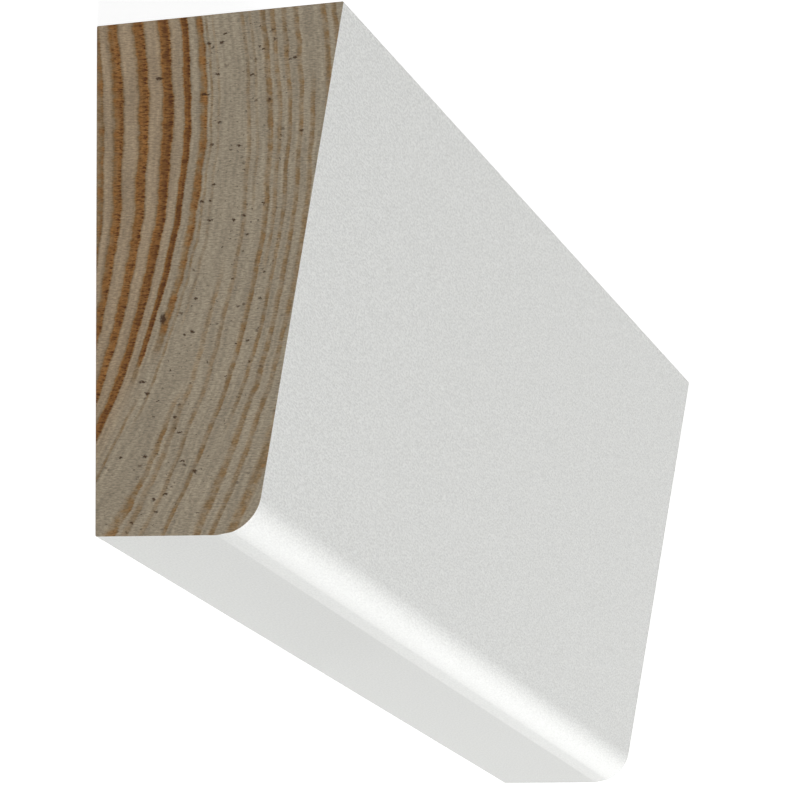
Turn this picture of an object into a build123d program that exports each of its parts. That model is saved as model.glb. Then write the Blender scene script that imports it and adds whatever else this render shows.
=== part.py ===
"""A straight length of pine cornice moulding, run to one section and sawn square at both ends.

It lies on its wall face. X runs along the length, Y up the wall and Z away from the wall,
and the origin is under the middle of the piece, on the plane of the wall face.
"""

import os

from build123d import *

# Driving dimensions, in millimetres
length = 300.0  # between the two sawn ends
height = 45.0  # up the wall, from the foot to the front edge that meets the ceiling
thickness = 21.0  # out from the wall, at the front edge
top_fall = 1.75  # how far the top drops from the front edge back to the wall
foot_width = 13.5  # out from the wall to where foot and sloping face would meet unrounded
nose_radius = 3.8  # rounds the corner between foot and sloping face


def section_corners():
    """The section's four corners as (Y, Z), in order, starting at the foot of the wall face."""
    foot = -height / 2
    ceiling = height / 2
    wall_foot = (foot, 0)
    wall_head = (ceiling - top_fall, 0)
    front_edge = (ceiling, thickness)
    nose = (foot, foot_width)
    return wall_foot, wall_head, front_edge, nose


def moulding():
    """The section with its rounded nose, drawn on one sawn end and extruded along the length."""
    corners = section_corners()
    nose = corners[-1]
    section = make_face(Polyline(*corners, close=True))
    nose_corner = section.vertices().sort_by_distance((*nose, 0))[0]
    section = fillet(nose_corner, nose_radius)
    sawn_end = Plane.YZ.offset(-length / 2)
    return extrude(sawn_end * section, amount=length)


os.makedirs("parts", exist_ok=True)
export_step(moulding(), "parts/cornice_moulding.step")
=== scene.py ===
"""A white-painted pine cornice moulding: its section run from a block, its finishes and its stage.

The frame is in metres. X runs along the length, Y up the wall and Z away from the wall.
"""

import math

import bmesh
import bpy
from bpy.props import FloatProperty, FloatVectorProperty, IntProperty, PointerProperty
from mathutils import Matrix, Vector


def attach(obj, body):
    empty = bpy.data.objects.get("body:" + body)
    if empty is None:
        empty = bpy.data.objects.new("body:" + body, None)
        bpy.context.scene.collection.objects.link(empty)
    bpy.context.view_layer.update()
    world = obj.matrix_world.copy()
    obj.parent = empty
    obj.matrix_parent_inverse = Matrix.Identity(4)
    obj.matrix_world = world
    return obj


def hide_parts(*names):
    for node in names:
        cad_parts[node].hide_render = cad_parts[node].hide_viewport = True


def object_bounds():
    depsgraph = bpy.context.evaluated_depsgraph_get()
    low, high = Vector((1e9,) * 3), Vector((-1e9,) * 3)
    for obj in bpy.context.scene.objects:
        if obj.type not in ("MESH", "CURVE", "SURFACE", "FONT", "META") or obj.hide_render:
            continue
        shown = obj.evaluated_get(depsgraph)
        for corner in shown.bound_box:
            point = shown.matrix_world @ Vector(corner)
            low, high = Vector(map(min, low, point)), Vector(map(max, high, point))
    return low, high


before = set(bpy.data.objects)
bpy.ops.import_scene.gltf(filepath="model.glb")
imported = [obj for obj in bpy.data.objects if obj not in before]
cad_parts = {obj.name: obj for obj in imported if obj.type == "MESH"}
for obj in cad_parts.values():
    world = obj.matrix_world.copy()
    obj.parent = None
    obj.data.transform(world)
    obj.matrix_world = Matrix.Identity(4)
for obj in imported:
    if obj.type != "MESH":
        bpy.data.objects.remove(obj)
cad_low, cad_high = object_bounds()

bl_info = {
    "name": "Cornice moulding",
    "version": (1, 0, 0),
    "blender": (4, 5, 0),
    "location": "3D View > Sidebar > Cornice",
    "description": "Models a painted pine cornice moulding on its packed frame, and a stage for it",
    "category": "Add Mesh",
}

MM = 0.001
SAME_PLACE = 1e-6
SENSOR_WIDTH = 36.0
WHITE = (1, 1, 1, 1)
FLOAT = "NodeSocketFloat"
VECTOR = "NodeSocketVector"
CAD_NODE = "cornice_moulding"
PIECE = "painted_moulding"

# Growth rings of the sawn end, all in millimetres but the darkness: where each ring's dark summer
# wood crosses the crown, measured out from the wall face, how wide it is, how dark it is, and the
# two heights above the foot between which it shows, past the piece's own where it runs through
RINGS = (
    (0.42, 0.70, 0.62, 18, 41),
    (1.90, 1.15, 0.78, -9, 60),
    (4.02, 1.20, 0.84, -9, 60),
    (6.05, 1.20, 0.95, -9, 60),
    (7.75, 0.75, 1.00, 16, 60),
    (9.10, 0.80, 0.68, 18, 60),
    (8.95, 0.40, 0.38, -9, 9),
    (9.75, 0.25, 0.32, 12, 60),
    (10.35, 0.25, 0.20, 20, 60),
    (11.52, 0.32, 0.48, -9, 9),
    (12.00, 0.40, 0.29, -9, 20),
    (13.00, 0.40, 0.30, -9, 60),
    (13.70, 0.30, 0.20, 30, 60),
    (14.80, 0.58, 0.45, -9, 60),
    (15.55, 0.45, 0.35, 25, 60),
    (16.40, 0.46, 0.40, 12, 60),
    (17.40, 0.50, 0.41, -9, 60),
    (18.40, 0.50, 0.39, -9, 36),
    (19.70, 0.58, 0.44, 33, 60),
    (20.60, 0.55, 0.42, 33, 60),
    (20.00, 1.05, 0.46, -9, 12),
)

# By how far out a ring crosses the crown: how much it bends beside a middle one, and how high
# above the foot it bulges most
RING_BENDS = (
    (0.0, 0.60), (2.0, 0.80), (4.0, 1.00), (6.0, 1.10), (9.0, 1.14),
    (10.4, 1.075), (11.8, 1.00), (14.5, 0.97), (17.3, 0.92), (19.0, 0.84), (24.0, 0.84),
)
RING_CROWNS = (
    (0.0, 32.5), (2.0, 33.5), (4.0, 34.5), (6.0, 35.5), (8.0, 37.0),
    (11.0, 36.5), (14.5, 35.0), (17.3, 36.5), (24.0, 37.0),
)

# Resin pockets near the first sawn end, in millimetres: out from the wall, up from the foot, and
# half their reach across the rings and along them
POCKETS = (
    (5.70, 18.3, 0.28, 0.60),
    (9.25, 37.3, 0.60, 0.11),
    (4.00, 13.0, 0.50, 0.10),
    (4.37, 12.0, 0.30, 0.16),
    (8.45, 5.4, 0.26, 0.22),
    (5.90, 3.5, 0.28, 0.12),
    (4.93, 3.1, 0.20, 0.18),
    (7.25, 6.3, 0.30, 0.09),
    (10.35, 39.0, 0.24, 0.14),
    (9.55, 41.6, 0.26, 0.13),
    (11.67, 26.6, 0.22, 0.14),
    (12.15, 32.9, 0.24, 0.12),
    (10.42, 34.9, 0.28, 0.12),
    (9.95, 29.6, 0.26, 0.13),
    (8.97, 28.2, 0.20, 0.13),
    (12.54, 27.0, 0.18, 0.16),
    (14.71, 36.8, 0.24, 0.12),
    (13.27, 38.9, 0.26, 0.11),
    (10.68, 41.7, 0.24, 0.12),
    (16.85, 40.3, 0.22, 0.13),
    (17.45, 34.1, 0.22, 0.12),
    (9.69, 26.6, 0.26, 0.12),
    (5.36, 38.7, 0.45, 0.16),
    (7.15, 8.7, 0.28, 0.10),
    (6.75, 10.0, 0.20, 0.16),
    (8.20, 17.2, 0.22, 0.18),
)

# How the two bare faces show their grain: lengths of its marks along X, Y and Z and their reach
# across the rings in millimetres, and the depth of its relief in metres
END_GRAIN = {
    "feather": 0.22,
    "flecks": (6.0, 0.12, 0.36),
    "dashes": (6.0, 0.16, 0.55),
    "scores": (30.0, 0.09, 5.0),
    "relief": 0.04 * MM,
}
WALL_GRAIN = {
    "feather": 0.6,
    "flecks": (4.0, 0.13, 0.24),
    "dashes": (9.0, 0.12, 0.3),
    "scores": (60.0, 0.20, 0.5),
    "relief": 0.02 * MM,
}

# Where nearly all of a streak pattern's values lie
STREAK_SPAN = (0.25, 0.75)

# By lamp: the direction that it shines from, and how wide it looks, in degrees
LAMPS = {
    "key": ((0.0, -0.695, 0.719), 30),
    "rim": ((0.987, -0.145, 0.076), 12),
    "fill": ((-1.0, -0.02, 0.06), 20),
}

# Map for baked pictures, in pixels: its side, the gap at its edges, and by chart the left edge and
# the pixels for each millimetre across and up
CHART_SIDE = 1024
CHART_GAP = 10
CHARTS = {
    "first end": (10, 12.0, 12.0),
    "second end": (272, 12.0, 12.0),
    "wall face": (534, 6.0, 3.3),
    "sloping face": (804, 2.4, 3.3),
    "top": (922, 2.4, 3.3),
    "foot": (982, 2.4, 3.3),
}


def tint(red, green, blue):
    """A colour as a screen shows it, from 0 to 255, as Blender's linear colour."""
    shares = (red / 255, green / 255, blue / 255)
    return tuple(c / 12.92 if c <= 0.04045 else ((c + 0.055) / 1.055) ** 2.4 for c in shares)


def size(name, description, default, **more):
    """A length property in metres."""
    return FloatProperty(
        name=name, description=description, default=default, unit="LENGTH", precision=5, **more
    )


def colour(name, description, default):
    """A colour property."""
    return FloatVectorProperty(
        name=name, description=description, default=default, subtype="COLOR", min=0.0, max=1.0
    )


class CorniceSizes(bpy.types.PropertyGroup):
    """Sizes of the moulding. Length, height and thickness come from the frame."""

    length: size("Length", "Between the two sawn ends", cad_high.x - cad_low.x)
    height: size("Height", "Up the wall, from the foot to the front edge", cad_high.y - cad_low.y)
    thickness: size("Thickness", "Out from the wall at the front edge", cad_high.z - cad_low.z)
    top_fall: size("Top fall", "How far the top drops from the front edge to the wall", 1.75 * MM)
    foot_width: size("Foot width", "Out from the wall to the nose, before rounding", 13.5 * MM)
    nose_radius: size("Nose radius", "Rounds the corner of foot and sloping face", 3.8 * MM)
    nose_facets: IntProperty(name="Nose facets", description="Steps round the nose", default=24)
    foot_line: IntProperty(
        name="Foot line", description="Nose edges left out beside the foot, so that a line shows",
        default=5,
    )
    arris: size("Arris", "How far the long edges are eased", 0.06 * MM)
    sawn_edge: size("Sawn edge", "How far the edges of the sawn ends are broken", 0.04 * MM)
    grain_cell: size("Grain cell", "Spacing of the sawn ends' relief", 0.3 * MM)
    saw_depth: size("Saw depth", "Depth of the scores that the saw left", 0.03 * MM)


class CorniceColours(bpy.types.PropertyGroup):
    """Colours of the paint and the pine."""

    paint: colour("Paint", "White paint of the room faces", tint(240, 241, 238))
    # Painted shade: the darker specks stand in for the shaded side of the paint's fine orange peel
    painted_peel_shade: colour("Paint speckle", "Darker specks of the paint", tint(213, 214, 211))
    spring_wood: colour("Spring wood", "Pale wood between the rings", tint(161, 149, 129))
    heart_wood: colour("Heartwood", "Pale wood between the rings nearest the wall", tint(165, 146, 121))
    turning_wood: colour("Turning wood", "Pale side of a ring", tint(138, 114, 82))
    summer_wood: colour("Summer wood", "Body of a ring", tint(150, 106, 58))
    resin_wood: colour("Resinous wood", "Darkest rings", tint(104, 64, 27))
    dash_wood: colour("Dashes", "Dark dashes in a ring", tint(84, 47, 20))
    resin: colour("Resin", "Resin canals and pockets", tint(62, 39, 22))


class CorniceStage(bpy.types.PropertyGroup):
    """Camera, lamps and floor."""

    camera_place: FloatVectorProperty(
        name="Camera", description="Where the camera stands", default=(-1.0113, -0.1039, 0.1337),
        subtype="XYZ", unit="LENGTH", precision=4,
    )
    camera_aim: FloatVectorProperty(
        name="Aim", description="What the camera looks at", default=(0.0, 0.00556, 0.00623),
        subtype="XYZ", unit="LENGTH", precision=5,
    )
    lens: FloatProperty(
        name="Lens", description="Focal length on a 36 mm sensor", default=478.1, unit="CAMERA"
    )
    floor_size: size("Floor", "Side of the floor", 80.0)
    floor_colour: colour("Floor colour", "Pale floor", (0.6, 0.6, 0.6))
    floor_glow: FloatProperty(
        name="Floor glow", description="What the camera sees of the floor in full shadow", default=0.78
    )
    sky: FloatProperty(name="Sky", description="Even light from all round", default=0.295)
    key: FloatProperty(name="Key", description="Lamp over the foot side", default=0.365)
    rim: FloatProperty(name="Rim", description="Low lamp behind the far end", default=0.565)
    fill: FloatProperty(name="Fill", description="Lamp beside the camera", default=0.51)


# Selecting and shaping


def select_only(piece=None):
    """In object mode, selects the piece and nothing else, or nothing at all."""
    bpy.ops.object.select_all(action="DESELECT")
    if piece is not None:
        piece.select_set(True)
        bpy.context.view_layer.objects.active = piece


def pick(piece, kind, wanted):
    """In edit mode, selects the piece's verts, edges or faces for which wanted says yes."""
    modes = {"verts": "VERT", "edges": "EDGE", "faces": "FACE"}
    bpy.ops.mesh.select_mode(type=modes[kind])
    bpy.ops.mesh.select_all(action="DESELECT")
    shape = bmesh.from_edit_mesh(piece.data)
    found = [part for part in getattr(shape, kind) if wanted(part)]
    if not found:
        raise RuntimeError(f"no {kind} found to shape on {piece.name}")
    for part in found:
        part.select_set(True)
    shape.select_flush_mode()
    bmesh.update_edit_mesh(piece.data)


def near(a, b):
    """Whether two lengths are the same to a micrometre."""
    return abs(a - b) < SAME_PLACE


def runs_along(edge, y, z):
    """Whether an edge runs the length at this height up the wall and distance from it."""
    return all(near(v.co.y, y) and near(v.co.z, z) for v in edge.verts)


def lengthwise(edge):
    """Whether an edge goes from one sawn end to the other."""
    return not near(edge.verts[0].co.x, edge.verts[1].co.x)


def on_sawn_end(edge, half_length):
    """Whether an edge is part of the outline of a sawn end."""
    return all(near(abs(v.co.x), half_length) for v in edge.verts)


def facing_end(face):
    """Whether a face is part of a sawn end, its broken edges included."""
    return abs(face.normal.x) > 0.5


def square_to_length(face):
    """Whether a face lies flat on a sawn end, its broken edges left out."""
    return abs(face.normal.x) > 0.99


def facing_wall(face):
    """Whether a face is part of the wall face, and not of a sawn end."""
    return face.normal.z < -0.6 and not facing_end(face)


def shape_section(piece, sizes):
    """Slopes the block's top and front, rounds the nose and eases the other edges."""
    foot = -sizes.height / 2
    top = sizes.height / 2
    pick(piece, "verts", lambda v: v.co.y > 0 and near(v.co.z, 0))
    bpy.ops.transform.translate(value=(0, -sizes.top_fall, 0))
    pick(piece, "verts", lambda v: v.co.y < 0 and near(v.co.z, sizes.thickness))
    bpy.ops.transform.translate(value=(0, 0, sizes.foot_width - sizes.thickness))

    lean = math.atan2(sizes.thickness - sizes.foot_width, sizes.height)
    nose_angle = math.pi / 2 + lean
    setback = sizes.nose_radius / math.tan(nose_angle / 2)
    pick(piece, "edges", lambda e: runs_along(e, foot, sizes.foot_width))
    bpy.ops.mesh.bevel(
        offset_type="OFFSET", offset=setback, segments=sizes.nose_facets, profile=0.5, affect="EDGES"
    )

    # The nose's edges beside the foot go, and those where it meets foot and sloping face are hard
    turn = (math.pi - nose_angle) * (sizes.foot_line + 0.5) / sizes.nose_facets
    rise = sizes.nose_radius * (1 - math.cos(turn))
    pick(
        piece, "edges",
        lambda e: lengthwise(e) and all(SAME_PLACE < v.co.y - foot < rise for v in e.verts),
    )
    bpy.ops.mesh.dissolve_edges()
    on_face = foot + setback * math.cos(lean)
    pick(
        piece, "edges",
        lambda e: lengthwise(e) and (near(e.verts[0].co.y, foot) or near(e.verts[0].co.y, on_face)),
    )
    bpy.ops.mesh.mark_sharp()

    corners = ((foot, 0), (top - sizes.top_fall, 0), (top, sizes.thickness))
    pick(piece, "edges", lambda e: any(runs_along(e, y, z) for y, z in corners))
    bpy.ops.mesh.bevel(offset_type="OFFSET", offset=sizes.arris, segments=1, affect="EDGES")
    pick(piece, "edges", lambda e: on_sawn_end(e, sizes.length / 2))
    bpy.ops.mesh.bevel(
        offset_type="OFFSET", offset=sizes.sawn_edge, segments=1, affect="EDGES", clamp_overlap=False
    )


def divide_ends(piece, sizes):
    """Cuts both sawn ends into fine grids, with the long faces hidden so that they stay whole."""
    pick(piece, "faces", lambda f: not square_to_length(f))
    bpy.ops.mesh.hide()
    rows = round(sizes.height / sizes.grain_cell)
    for row in range(1, rows):
        bpy.ops.mesh.select_all(action="SELECT")
        y = sizes.height * (row / rows - 0.5)
        bpy.ops.mesh.bisect(plane_co=(0, y, 0), plane_no=(0, 1, 0))
    columns = round(sizes.thickness / sizes.grain_cell)
    for column in range(1, columns):
        bpy.ops.mesh.select_all(action="SELECT")
        z = sizes.thickness * column / columns
        bpy.ops.mesh.bisect(plane_co=(0, 0, z), plane_no=(0, 0, 1))
    bpy.ops.mesh.reveal(select=False)


def score_ends(piece, sizes):
    """Roughens both sawn ends with the shallow level scores that a saw leaves."""
    score_lengths = (20 * MM, 0.5 * MM, 4 * MM)
    pick(piece, "verts", lambda v: all(square_to_length(f) for f in v.link_faces))
    bpy.ops.object.vertex_group_assign_new()
    bpy.ops.object.mode_set(mode="OBJECT")
    sawn = piece.vertex_groups.active
    scores = bpy.data.textures.new("saw_scores", "CLOUDS")
    scores.noise_scale = 1.0
    scores.noise_depth = 2
    select_only()
    bpy.ops.object.empty_add()
    spread = bpy.context.object
    spread.scale = score_lengths
    select_only(piece)
    bpy.ops.object.modifier_add(type="DISPLACE")
    cut = piece.modifiers[-1]
    cut.texture = scores
    cut.texture_coords = "OBJECT"
    cut.texture_coords_object = spread
    cut.direction = "X"
    cut.strength = sizes.saw_depth
    cut.vertex_group = sawn.name
    bpy.context.view_layer.update()
    bpy.ops.object.modifier_apply(modifier=cut.name)
    bpy.data.objects.remove(spread)
    bpy.data.textures.remove(scores)
    bpy.ops.object.vertex_group_remove(all=True)


def lay_out(piece, sizes):
    """A map for baked pictures: both sawn ends large, then the wall face, then the painted faces."""
    chart_places = piece.data.uv_layers.new(name="OFBake").data
    half_length = sizes.length / 2
    half_height = sizes.height / 2
    for face in piece.data.polygons:
        normal = face.normal
        if facing_end(face):
            chart = "first end" if normal.x < 0 else "second end"
        elif abs(normal.z) > abs(normal.y):
            chart = "wall face" if normal.z < 0 else "sloping face"
        else:
            chart = "top" if normal.y > 0 else "foot"
        left, across_scale, up_scale = CHARTS[chart]
        for corner in face.loop_indices:
            place = piece.data.vertices[piece.data.loops[corner].vertex_index].co
            up = place.y + half_height if facing_end(face) else place.x + half_length
            across = place.y + half_height if chart in ("wall face", "sloping face") else place.z
            chart_places[corner].uv = (
                (left + across / MM * across_scale) / CHART_SIDE,
                (CHART_GAP + up / MM * up_scale) / CHART_SIDE,
            )


def finish_faces(piece, finishes):
    """Gives each face its finish: paint, then end grain on the sawn ends and bare pine at the wall."""
    for finish in finishes:
        piece.data.materials.append(finish)
    bpy.ops.object.mode_set(mode="EDIT")
    for slot, wanted in enumerate((lambda f: True, facing_end, facing_wall)):
        pick(piece, "faces", wanted)
        piece.active_material_index = slot
        bpy.ops.object.material_slot_assign()
    bpy.ops.object.mode_set(mode="OBJECT")


# Nodes


def node(tree, kind, settings=None, **inputs):
    """Adds a node, sets its settings, and sets or links its inputs, underscores standing for spaces."""
    made = tree.nodes.new(kind)
    for name, value in (settings or {}).items():
        setattr(made, name, value)
    for name, value in inputs.items():
        feed(tree, made.inputs[name.replace("_", " ")], value)
    return made


def feed(tree, socket, value):
    """Links an output to a socket, or sets the socket to a plain value."""
    if isinstance(value, bpy.types.NodeSocket):
        tree.links.new(value, socket)
    else:
        socket.default_value = value


def maths(tree, operation, *values, clamp=False):
    """A Math node's result."""
    made = tree.nodes.new("ShaderNodeMath")
    made.operation = operation
    made.use_clamp = clamp
    for socket, value in zip(made.inputs, values):
        feed(tree, socket, value)
    return made.outputs["Value"]


def ease(tree, value, low, high, low_result=0.0, high_result=1.0):
    """Goes smoothly from one result to another while the value goes from low to high."""
    made = node(tree, "ShaderNodeMapRange", {"interpolation_type": "SMOOTHSTEP"}, Value=value)
    feed(tree, made.inputs["From Min"], low)
    feed(tree, made.inputs["From Max"], high)
    feed(tree, made.inputs["To Min"], low_result)
    feed(tree, made.inputs["To Max"], high_result)
    return made.outputs["Result"]


def curve(tree, value, points, most):
    """Follows a smooth curve through given points; no result is over most."""
    made = tree.nodes.new("ShaderNodeFloatCurve")
    longest = points[-1][0]
    feed(tree, made.inputs["Value"], maths(tree, "DIVIDE", value, longest))
    knots = made.mapping.curves[0].points
    while len(knots) < len(points):
        knots.new(0.5, 0.5)
    for knot, (at, result) in zip(knots, points):
        knot.location = (at / longest, result / most)
    made.mapping.update()
    return maths(tree, "MULTIPLY", made.outputs["Value"], most)


def vector_maths(tree, operation, *values):
    """A Vector Math node."""
    made = tree.nodes.new("ShaderNodeVectorMath")
    made.operation = operation
    for socket, value in zip(made.inputs, values):
        feed(tree, socket, value)
    return made


def stretched(tree, place, scale):
    """A place with each axis multiplied by its own scale."""
    return vector_maths(tree, "MULTIPLY", place, scale).outputs["Vector"]


def mixed(tree, factor, first, second, blend="MIX"):
    """Two colours mixed."""
    made = node(tree, "ShaderNodeMix", {"data_type": "RGBA", "blend_type": blend})
    feed(tree, made.inputs["Factor"], factor)
    colours = [s for s in made.inputs if s.type == "RGBA"]
    feed(tree, colours[0], first)
    feed(tree, colours[1], second)
    return [s for s in made.outputs if s.type == "RGBA"][0]


def new_group(name, inputs, outputs):
    """An empty node group with float or vector sockets, and its input and output nodes."""
    tree = bpy.data.node_groups.new(name, "ShaderNodeTree")
    for socket, kind in inputs:
        tree.interface.new_socket(socket, in_out="INPUT", socket_type=kind)
    for socket, kind in outputs:
        tree.interface.new_socket(socket, in_out="OUTPUT", socket_type=kind)
    return tree, tree.nodes.new("NodeGroupInput").outputs, tree.nodes.new("NodeGroupOutput").inputs


def streak_group():
    """Fine streaks or specks: noise drawn out along each axis by a length in millimetres."""
    tree, given, result = new_group(
        "Fine streaks", [("Place", VECTOR), ("Lengths", VECTOR), ("Detail", FLOAT)], [("Streak", FLOAT)]
    )
    drawn_out = vector_maths(tree, "DIVIDE", given["Place"], given["Lengths"]).outputs["Vector"]
    noise = node(
        tree, "ShaderNodeTexNoise", {"noise_dimensions": "3D"},
        Vector=drawn_out, Scale=1.0, Detail=given["Detail"], Roughness=0.6,
    )
    feed(tree, result["Streak"], noise.outputs["Fac"])
    return tree


def streak(tree, streaks, place, lengths, detail):
    """Fine streaks of these lengths, in millimetres."""
    made = node(
        tree, "ShaderNodeGroup", {"node_tree": streaks}, Place=place, Lengths=lengths, Detail=detail
    )
    return made.outputs["Streak"]


def ring_group():
    """One ring's dark summer wood: it comes in softly from the pith side and ends more sharply."""
    names = ("Growth", "Height", "Place", "Width", "Darkness", "Shows from", "Shows to")
    tree, given, result = new_group(
        "One ring", [(n, FLOAT) for n in names], [("Summer wood", FLOAT), ("Late wood", FLOAT)]
    )
    # Millimetres over which a ring fades out at its two heights, and how dark its first part is
    fade = 4.0
    first_dark = 0.87

    def edge(share):
        """A share of the ring's width, out from its middle."""
        return maths(tree, "MULTIPLY_ADD", given["Width"], share, given["Place"])

    rise = ease(tree, given["Growth"], edge(-0.64), edge(-0.18))
    late = ease(tree, given["Growth"], edge(-0.20), edge(0.30))
    fall = ease(tree, given["Growth"], edge(0.24), edge(0.58), 1.0, 0.0)
    lowest = maths(tree, "SUBTRACT", given["Shows from"], fade)
    highest = maths(tree, "ADD", given["Shows to"], fade)
    above = ease(tree, given["Height"], lowest, given["Shows from"])
    below = ease(tree, given["Height"], given["Shows to"], highest, 1.0, 0.0)
    deepening = ease(tree, late, 0.0, 1.0, first_dark, 1.0)
    band = maths(tree, "MULTIPLY", maths(tree, "MULTIPLY", rise, fall), deepening)
    shown = maths(tree, "MULTIPLY", above, below)
    dark = maths(tree, "MULTIPLY", maths(tree, "MULTIPLY", band, shown), given["Darkness"])
    feed(tree, result["Summer wood"], dark)
    feed(tree, result["Late wood"], maths(tree, "MULTIPLY", dark, late))
    return tree


def growth_group(sizes, streaks):
    """The tree's growth rings through the whole piece, from a place in millimetres."""
    tree, given, result = new_group(
        "Growth rings",
        [("Place", VECTOR), ("Feather", FLOAT)],
        [(n, FLOAT) for n in ("Summer wood", "Late wood", "Heartwood", "Growth", "Growth lines")],
    )
    # Lengths and heights here are in millimetres, as places are
    middle_crown = 36.5
    highest_crown = 60.0
    bend = 66.0
    most_bend = 2.0
    drift = 0.004
    sway_lengths = (50.0, 6.0, 6.0)
    sway_reach = 0.8
    patch_lengths = (30.0, 1.0, 1.3)
    patch_change = (-0.58, 0.14)
    dark_ring_share = 0.25
    line_lengths = (40.0, 5.0, 0.35)
    heart_from, heart_to = 6.0, 9.5
    near_end = -sizes.length / 2 / MM
    foot = -sizes.height / 2 / MM
    place = node(tree, "ShaderNodeSeparateXYZ", Vector=given["Place"]).outputs
    height = maths(tree, "SUBTRACT", place["Y"], foot)

    def bow(crown):
        """How far a ring falls back from its crown at this height."""
        drop = maths(tree, "SUBTRACT", height, crown)
        return maths(tree, "DIVIDE", maths(tree, "MULTIPLY", drop, drop), 2 * bend)

    about = maths(tree, "ADD", place["Z"], bow(middle_crown))
    crown = curve(tree, about, RING_CROWNS, highest_crown)
    bent = maths(tree, "MULTIPLY", curve(tree, about, RING_BENDS, most_bend), bow(crown))
    straight = maths(tree, "ADD", place["Z"], bent)
    travel = maths(tree, "MULTIPLY", maths(tree, "SUBTRACT", place["X"], near_end), drift)
    sway = streak(tree, streaks, given["Place"], sway_lengths, detail=2.0)
    sway = maths(tree, "MULTIPLY", maths(tree, "SUBTRACT", sway, 0.5), sway_reach)
    growth = maths(tree, "ADD", maths(tree, "ADD", straight, travel), sway)
    feathered = maths(tree, "ADD", growth, given["Feather"])
    one_ring = ring_group()
    darkest = 0.0
    latest = 0.0
    for out, width, dark, shows_from, shows_to in RINGS:
        ring = node(
            tree, "ShaderNodeGroup", {"node_tree": one_ring},
            Growth=feathered, Height=height, Place=out, Width=width, Darkness=dark,
            Shows_from=shows_from, Shows_to=shows_to,
        )
        darkest = maths(tree, "MAXIMUM", darkest, ring.outputs["Summer wood"])
        latest = maths(tree, "MAXIMUM", latest, ring.outputs["Late wood"])

    # Pale rings come and go along their length, dark ones hardly
    patch = streak(tree, streaks, given["Place"], patch_lengths, detail=2.0)
    patch = ease(tree, patch, 0.32, 0.68, *patch_change)
    patchy = ease(tree, darkest, 0.50, 0.75, 1.0, dark_ring_share)
    change = maths(tree, "MULTIPLY_ADD", patch, patchy, 1.0)
    feed(tree, result["Summer wood"], maths(tree, "MULTIPLY", darkest, change))
    feed(tree, result["Late wood"], latest)
    feed(tree, result["Heartwood"], ease(tree, growth, heart_from, heart_to, 1.0, 0.0))
    feed(tree, result["Growth"], growth)
    along = node(tree, "ShaderNodeCombineXYZ", X=place["X"], Y=place["Y"], Z=growth).outputs["Vector"]
    feed(tree, result["Growth lines"], streak(tree, streaks, along, line_lengths, detail=2.0))
    return tree


def canals(tree, place, spacing, rarity, depth):
    """Resin canals along the grain, about this far apart in millimetres, each of its own size.

    Rarity is the share of them that is left out, and depth is how dark the darkest is.
    """
    # A canal's reach is a share of the spacing, and its dark core a share of its reach
    least_reach, most_reach = 0.10, 0.24
    core_share = 0.35
    faintest_share = 0.4
    cells = node(
        tree, "ShaderNodeTexVoronoi", {"voronoi_dimensions": "3D"},
        Vector=stretched(tree, place, tuple(1 / apart for apart in spacing)), Scale=1.0,
    )
    lot = node(tree, "ShaderNodeSeparateColor", Color=cells.outputs["Color"]).outputs
    reach = ease(tree, lot["Green"], 0.0, 1.0, least_reach, most_reach)
    core_reach = maths(tree, "MULTIPLY", reach, core_share)
    core = ease(tree, cells.outputs["Distance"], core_reach, reach, 1.0, 0.0)
    chosen = maths(tree, "GREATER_THAN", lot["Red"], rarity)
    filled = ease(tree, lot["Blue"], 0.0, 1.0, faintest_share * depth, depth)
    return maths(tree, "MULTIPLY", maths(tree, "MULTIPLY", core, chosen), filled)


def resin_group(sizes):
    """Resin: canals, mostly in the middle rings, and the larger pockets near the first sawn end."""
    tree, given, result = new_group("Resin", [("Place", VECTOR), ("Growth", FLOAT)], [("Resin", FLOAT)])
    raggedness = (0.0, 0.35, 0.5)
    pocket_length = 20.0
    pocket_core, pocket_rim, pocket_dark = 0.4, 1.1, 0.9
    inner_share, outer_share = 0.2, 0.45
    ragged = node(
        tree, "ShaderNodeTexNoise", {"noise_dimensions": "3D"}, Vector=given["Place"], Scale=5.0
    )
    shift = vector_maths(tree, "SUBTRACT", ragged.outputs["Color"], (0.5, 0.5, 0.5)).outputs["Vector"]
    shift = stretched(tree, shift, raggedness)
    place = vector_maths(tree, "ADD", given["Place"], shift).outputs["Vector"]

    large = canals(tree, place, spacing=(20.0, 0.75, 1.10), rarity=0.10, depth=1.0)
    small = canals(tree, place, spacing=(12.0, 0.42, 0.58), rarity=0.22, depth=0.85)
    inner = ease(tree, given["Growth"], 8.5, 10.5, inner_share, 1.0)
    outer = ease(tree, given["Growth"], 15.5, 18.0, 1.0, outer_share)
    spread = maths(tree, "MULTIPLY", inner, outer)
    resin = maths(tree, "MULTIPLY", maths(tree, "MAXIMUM", large, small), spread)

    near_end = -sizes.length / 2 / MM
    foot = -sizes.height / 2 / MM
    for out, up, across, along in POCKETS:
        offset = vector_maths(tree, "SUBTRACT", place, (near_end, foot + up, out)).outputs["Vector"]
        shares = stretched(tree, offset, (1 / pocket_length, 1 / along, 1 / across))
        reach = vector_maths(tree, "LENGTH", shares).outputs["Value"]
        pocket = ease(tree, reach, pocket_core, pocket_rim, pocket_dark, 0.0)
        resin = maths(tree, "MAXIMUM", resin, pocket)
    feed(tree, result["Resin"], resin)
    return tree


def new_material(name):
    """A material with its Principled shader, and the place on the piece in millimetres."""
    made = bpy.data.materials.new(name)
    made.use_nodes = True
    tree = made.node_tree
    tree.nodes.clear()
    shader = tree.nodes.new("ShaderNodeBsdfPrincipled")
    output = tree.nodes.new("ShaderNodeOutputMaterial")
    tree.links.new(shader.outputs["BSDF"], output.inputs["Surface"])
    where = tree.nodes.new("ShaderNodeTexCoord").outputs["Object"]
    return made, tree, shader, stretched(tree, where, (1 / MM, 1 / MM, 1 / MM))


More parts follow.
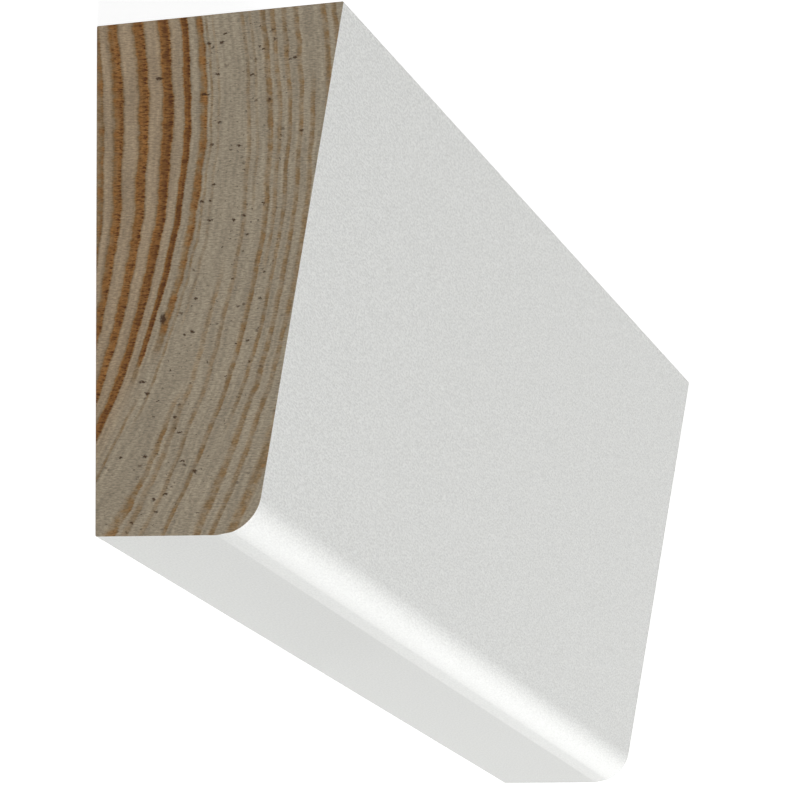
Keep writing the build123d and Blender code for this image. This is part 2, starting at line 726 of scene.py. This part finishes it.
def solid(colour_value):
    """A colour with its alpha."""
    return (*colour_value, 1.0)


def paint_material(sizes, colours, streaks):
    """White factory paint with a fine speckle of painted light and shade standing in for its orange
    peel, besides a real bump, smoother on the foot.
    """
    made, tree, shader, place = new_material("White paint")
    height = node(tree, "ShaderNodeSeparateXYZ", Vector=place).outputs["Y"]
    foot = -sizes.height / 2 / MM
    speckle_lengths = (0.9, 0.15, 0.15)
    # The share of the speckle that the foot shows, and the heights between which it grows to the full
    foot_share = 0.35
    faint_to, full_from = foot + 0.1, foot + 4.0
    rough = ease(tree, height, faint_to, full_from, foot_share, 1.0)
    speckle = streak(tree, streaks, place, speckle_lengths, detail=1.0)
    speckle = maths(tree, "MULTIPLY", maths(tree, "SUBTRACT", speckle, 0.5), rough)
    # The speckle's colour is painted light and shade of the orange peel, lighter and darker specks,
    # while the same speckle also raises a real bump
    shade = ease(tree, speckle, -0.25, 0.25)
    white = mixed(tree, shade, solid(colours.painted_peel_shade), solid(colours.paint))
    feed(tree, shader.inputs["Base Color"], white)
    bump = node(tree, "ShaderNodeBump", Strength=0.5, Distance=0.02 * MM, Height=speckle)
    feed(tree, shader.inputs["Normal"], bump.outputs["Normal"])
    shader.inputs["Roughness"].default_value = 0.74
    return made


def wood_colour(tree, colours, rings):
    """Pale spring wood through to resinous summer wood."""
    turned = 0.4
    steps = (
        (turned, colours.turning_wood),
        (0.7, colours.summer_wood),
        (1.0, colours.resin_wood),
    )
    ramp = node(tree, "ShaderNodeValToRGB", Fac=rings["Summer wood"])
    band = ramp.color_ramp
    while len(band.elements) < len(steps):
        band.elements.new(0.5)
    for element, (at, shade) in zip(band.elements, steps):
        element.position = at
        element.color = solid(shade)
    pale = mixed(tree, rings["Heartwood"], solid(colours.spring_wood), solid(colours.heart_wood))
    turning = maths(tree, "DIVIDE", rings["Summer wood"], turned, clamp=True)
    return mixed(tree, turning, pale, ramp.outputs["Color"])


def pine_material(name, colours, groups, grain):
    """Bare pine: rings with ragged edges, dark dashes in them, flecks, tool scores and resin."""
    made, tree, shader, place = new_material(name)
    dash_edge = (0.48, 0.60)
    score_edge = (0.60, 0.74)
    most_through, most_late = 0.68, 0.36
    fleck_light = (0.72, 1.28)
    line_light = (0.86, 1.14)
    score_shade = -0.12
    fibres = streak(tree, groups["streaks"], place, grain["dashes"], detail=2.0)
    feather = maths(tree, "MULTIPLY", maths(tree, "SUBTRACT", 0.5, fibres), grain["feather"])
    rings = node(
        tree, "ShaderNodeGroup", {"node_tree": groups["rings"]}, Place=place, Feather=feather
    ).outputs
    resin = node(
        tree, "ShaderNodeGroup", {"node_tree": groups["resin"]}, Place=place, Growth=rings["Growth"]
    ).outputs["Resin"]

    flecks = streak(tree, groups["streaks"], place, grain["flecks"], detail=2.0)
    dashes = ease(tree, fibres, *dash_edge)
    scores = ease(tree, streak(tree, groups["streaks"], place, grain["scores"], detail=1.0), *score_edge)
    wood = wood_colour(tree, colours, rings)

    # Dashes show all through the dark rings, and more in each ring's late wood
    all_through = ease(tree, rings["Summer wood"], 0.46, 0.74, 0.0, most_through)
    late = ease(tree, rings["Late wood"], 0.30, 0.80)
    dashed = maths(tree, "MULTIPLY_ADD", late, most_late, all_through)
    wood = mixed(tree, maths(tree, "MULTIPLY", dashes, dashed), wood, solid(colours.dash_wood))
    light = ease(tree, flecks, *STREAK_SPAN, *fleck_light)
    lines = ease(tree, rings["Growth lines"], *STREAK_SPAN, *line_light)
    light = maths(tree, "MULTIPLY", light, lines)
    light = maths(tree, "MULTIPLY", light, maths(tree, "MULTIPLY_ADD", scores, score_shade, 1.0))
    grey = node(tree, "ShaderNodeCombineColor", Red=light, Green=light, Blue=light).outputs["Color"]
    wood = mixed(tree, 1.0, wood, grey, "MULTIPLY")
    feed(tree, shader.inputs["Base Color"], mixed(tree, resin, wood, solid(colours.resin)))

    level = maths(tree, "SUBTRACT", flecks, maths(tree, "ADD", resin, scores))
    bump = node(tree, "ShaderNodeBump", Strength=0.5, Distance=grain["relief"], Height=level)
    feed(tree, shader.inputs["Normal"], bump.outputs["Normal"])
    shader.inputs["Roughness"].default_value = 0.8
    shader.inputs["Specular IOR Level"].default_value = 0.25
    return made


class CORNICE_OT_moulding(bpy.types.Operator):
    """Model the moulding from a block, shape its section and give each face its finish"""

    bl_idname = "cornice.moulding"
    bl_label = "Moulding"

    def execute(self, context):
        sizes = context.scene.cornice_sizes
        colours = context.scene.cornice_colours
        select_only()
        bpy.ops.mesh.primitive_cube_add(
            size=1,
            location=(0, 0, sizes.thickness / 2),
            scale=(sizes.length, sizes.height, sizes.thickness),
        )
        piece = context.object
        piece.name = PIECE
        bpy.ops.object.transform_apply(location=True, rotation=True, scale=True)
        bpy.ops.object.mode_set(mode="EDIT")
        shape_section(piece, sizes)
        divide_ends(piece, sizes)
        score_ends(piece, sizes)
        # Facets of the nose turn by less than this, and arrises by more
        smooth_below = math.radians(15)
        bpy.ops.object.shade_smooth_by_angle(angle=smooth_below, keep_sharp_edges=True)
        lay_out(piece, sizes)

        streaks = streak_group()
        groups = {"streaks": streaks, "rings": growth_group(sizes, streaks), "resin": resin_group(sizes)}
        finish_faces(
            piece,
            (
                paint_material(sizes, colours, streaks),
                pine_material("Sawn end grain", colours, groups, END_GRAIN),
                pine_material("Planed pine", colours, groups, WALL_GRAIN),
            ),
        )
        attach(piece, "root")
        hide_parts(CAD_NODE)
        return {"FINISHED"}


def sun(name, towards, level, width):
    """A sun lamp that shines from a direction and looks this wide, in degrees.

    A white card square to it renders at its level.
    """
    bpy.ops.object.light_add(type="SUN", rotation=Vector(towards).to_track_quat("Z", "Y").to_euler())
    lamp = bpy.context.object
    lamp.name = name
    lamp.data.energy = level * math.pi
    lamp.data.angle = math.radians(width)


def seen_rays(tree):
    """1 for what the camera sees, straight or in gloss or through glass, and else 0."""
    path = tree.nodes.new("ShaderNodeLightPath").outputs
    gloss = maths(tree, "MAXIMUM", path["Is Glossy Ray"], path["Is Transmission Ray"])
    return maths(tree, "MAXIMUM", path["Is Camera Ray"], gloss)


def floor_material(stage):
    """A pale floor that shows white, and keeps a light shadow."""
    made = bpy.data.materials.new("Pale floor")
    made.use_nodes = True
    tree = made.node_tree
    tree.nodes.clear()
    matt = node(tree, "ShaderNodeBsdfDiffuse", Color=solid(stage.floor_colour)).outputs["BSDF"]
    glow = node(tree, "ShaderNodeEmission", Color=WHITE, Strength=stage.floor_glow).outputs["Emission"]
    shadowed = node(tree, "ShaderNodeAddShader")
    tree.links.new(matt, shadowed.inputs[0])
    tree.links.new(glow, shadowed.inputs[1])
    choice = node(tree, "ShaderNodeMixShader", Fac=seen_rays(tree))
    tree.links.new(matt, choice.inputs[1])
    tree.links.new(shadowed.outputs["Shader"], choice.inputs[2])
    output = tree.nodes.new("ShaderNodeOutputMaterial")
    tree.links.new(choice.outputs["Shader"], output.inputs["Surface"])
    return made


def light_sky(stage):
    """A world that lights evenly and shows white."""
    world = bpy.data.worlds.new("White studio")
    bpy.context.scene.world = world
    world.use_nodes = True
    tree = world.node_tree
    tree.nodes.clear()
    strength = ease(tree, seen_rays(tree), 0.0, 1.0, stage.sky, 1.0)
    sky = node(tree, "ShaderNodeBackground", Color=WHITE, Strength=strength)
    output = tree.nodes.new("ShaderNodeOutputWorld")
    tree.links.new(sky.outputs["Background"], output.inputs["Surface"])


def aimed(place, aim, up):
    """The turn of a camera that stands at place, looks at aim and has up upwards."""
    back = (Vector(place) - Vector(aim)).normalized()
    right = Vector(up).cross(back).normalized()
    return Matrix((right, back.cross(right), back)).transposed().to_euler()


class CORNICE_OT_stage(bpy.types.Operator):
    """Lay the floor, light the piece and set the camera"""

    bl_idname = "cornice.stage"
    bl_label = "Stage"

    def execute(self, context):
        stage = context.scene.cornice_stage
        select_only()
        bpy.ops.mesh.primitive_plane_add(size=stage.floor_size)
        floor = context.object
        floor.name = "studio_floor"
        floor.data.materials.append(floor_material(stage))
        light_sky(stage)
        for lamp, (towards, width) in LAMPS.items():
            sun(f"{lamp}_lamp", towards, getattr(stage, lamp), width)
        bpy.ops.object.camera_add(
            location=stage.camera_place, rotation=aimed(stage.camera_place, stage.camera_aim, (0, 1, 0))
        )
        camera = context.object
        camera.data.lens = stage.lens
        camera.data.sensor_width = SENSOR_WIDTH
        camera.data.clip_end = stage.floor_size
        context.scene.camera = camera
        context.scene.view_settings.view_transform = "Standard"
        return {"FINISHED"}


class CORNICE_PT_panel(bpy.types.Panel):
    """Cornice moulding's sizes, colours and stage"""

    bl_label = "Cornice moulding"
    bl_space_type = "VIEW_3D"
    bl_region_type = "UI"
    bl_category = "Cornice"

    def draw(self, context):
        scene = context.scene
        for settings in (scene.cornice_sizes, scene.cornice_colours, scene.cornice_stage):
            box = self.layout.box()
            for name in settings.__annotations__:
                box.prop(settings, name)
        self.layout.operator(CORNICE_OT_moulding.bl_idname)
        self.layout.operator(CORNICE_OT_stage.bl_idname)


CLASSES = (
    CorniceSizes,
    CorniceColours,
    CorniceStage,
    CORNICE_OT_moulding,
    CORNICE_OT_stage,
    CORNICE_PT_panel,
)


def register():
    for made in CLASSES:
        bpy.utils.register_class(made)
    bpy.types.Scene.cornice_sizes = PointerProperty(type=CorniceSizes)
    bpy.types.Scene.cornice_colours = PointerProperty(type=CorniceColours)
    bpy.types.Scene.cornice_stage = PointerProperty(type=CorniceStage)


def unregister():
    del bpy.types.Scene.cornice_stage
    del bpy.types.Scene.cornice_colours
    del bpy.types.Scene.cornice_sizes
    for made in reversed(CLASSES):
        bpy.utils.unregister_class(made)


def main():
    register()
    bpy.ops.cornice.moulding()
    bpy.ops.cornice.stage()


if __name__ == "__main__":
    main()
